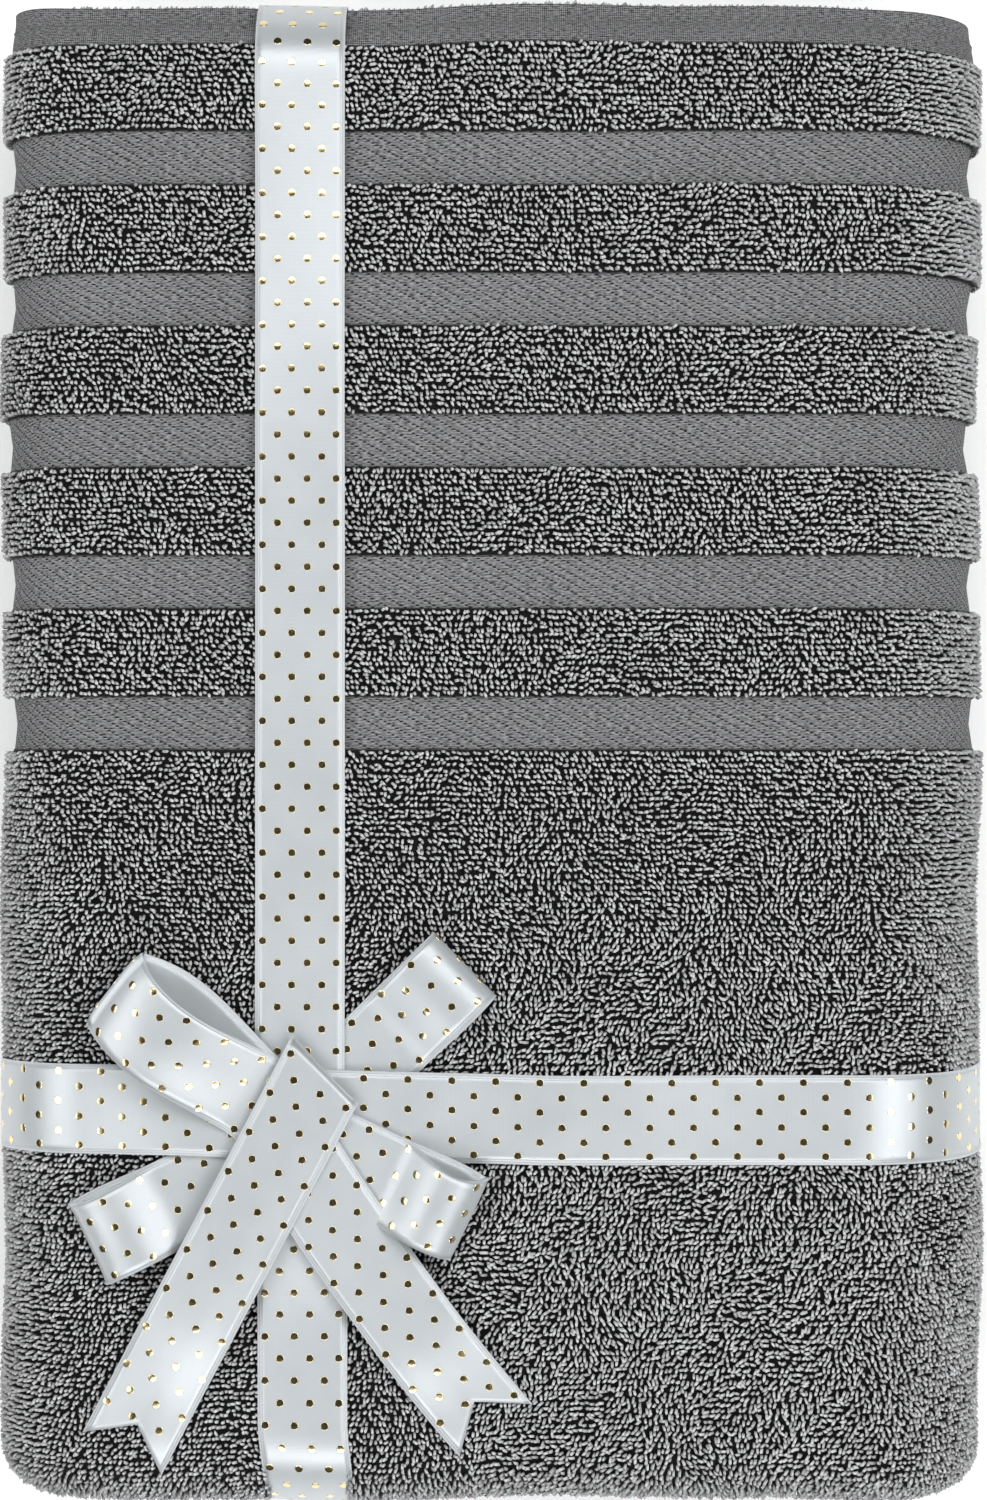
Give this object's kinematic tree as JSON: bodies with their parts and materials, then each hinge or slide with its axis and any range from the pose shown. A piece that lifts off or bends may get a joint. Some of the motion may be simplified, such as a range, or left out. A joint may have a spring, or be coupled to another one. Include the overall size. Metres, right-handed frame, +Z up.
{
  "type": "folded bath towel",
  "caption": "Dark bath towel folded into a rectangular pack, hems and woven bands at its top end, tied both ways with a dotted satin ribbon and a flat bow.",
  "frame": {"origin": "centre of the pack's rectangle on the surface it lies on", "axes": "+Z up out of the lying pack, +Y along its length towards the hems and woven bands, +X across it to the right when the bow is nearer and the hems are farther"},
  "size_m": [0.2484, 0.3744, 0.0762],
  "materials": {
    "terry_cloth": "looped cotton terry, matte",
    "stitching": "cotton sewing thread, matte",
    "ribbon": "white satin with small round gold foil dots"
  },
  "bodies": {
    "towel_pack": {"folded_towel": "terry_cloth", "hem_stitching_outer": "stitching", "hem_stitching_inner": "stitching", "ribbon_wrap_long": "ribbon", "ribbon_wrap_cross": "ribbon", "bow_band_under": "ribbon", "bow_band_over": "ribbon", "bow_knot": "ribbon", "bow_tail_right_root": "ribbon"},
    "loop_upper_left": {"bow_loop_upper_left": "ribbon"},
    "loop_lower_right": {"bow_loop_lower_right": "ribbon"},
    "loop_upper_right": {"bow_loop_upper_right": "ribbon"},
    "loop_lower_left": {"bow_loop_lower_left": "ribbon"},
    "tail_left": {"bow_tail_left": "ribbon"},
    "tail_right": {"bow_tail_right": "ribbon"}
  },
  "joints": [
    {"name": "loop_upper_left_lift", "type": "hinge", "parent": "towel_pack", "child": "loop_upper_left", "pos_m": [-0.05884, -0.08446, 0.0692], "axis": [0.4866, 0.8736, 0], "range_deg": [0, 35]},
    {"name": "loop_lower_right_lift", "type": "hinge", "parent": "towel_pack", "child": "loop_lower_right", "pos_m": [-0.02559, -0.10531, 0.0692], "axis": [0.4022, -0.9156, 0], "range_deg": [0, 35]},
    {"name": "loop_upper_right_lift", "type": "hinge", "parent": "towel_pack", "child": "loop_upper_right", "pos_m": [-0.02463, -0.06985, 0.0667], "axis": [0.7009, -0.7132, 0], "range_deg": [0, 35]},
    {"name": "loop_lower_left_lift", "type": "hinge", "parent": "towel_pack", "child": "loop_lower_left", "pos_m": [-0.0797, -0.11159, 0.0667], "axis": [-0.1452, 0.9894, 0], "range_deg": [0, 35]},
    {"name": "tail_left_lift", "type": "hinge", "parent": "towel_pack", "child": "tail_left", "pos_m": [-0.04715, -0.08929, 0.0706], "axis": [-0.8838, 0.4679, 0], "range_deg": [0, 70]},
    {"name": "tail_right_lift", "type": "hinge", "parent": "towel_pack", "child": "tail_right", "pos_m": [-0.03819, -0.1132, 0.0699], "axis": [-0.8121, -0.5835, 0], "range_deg": [0, 60]}
  ]
}
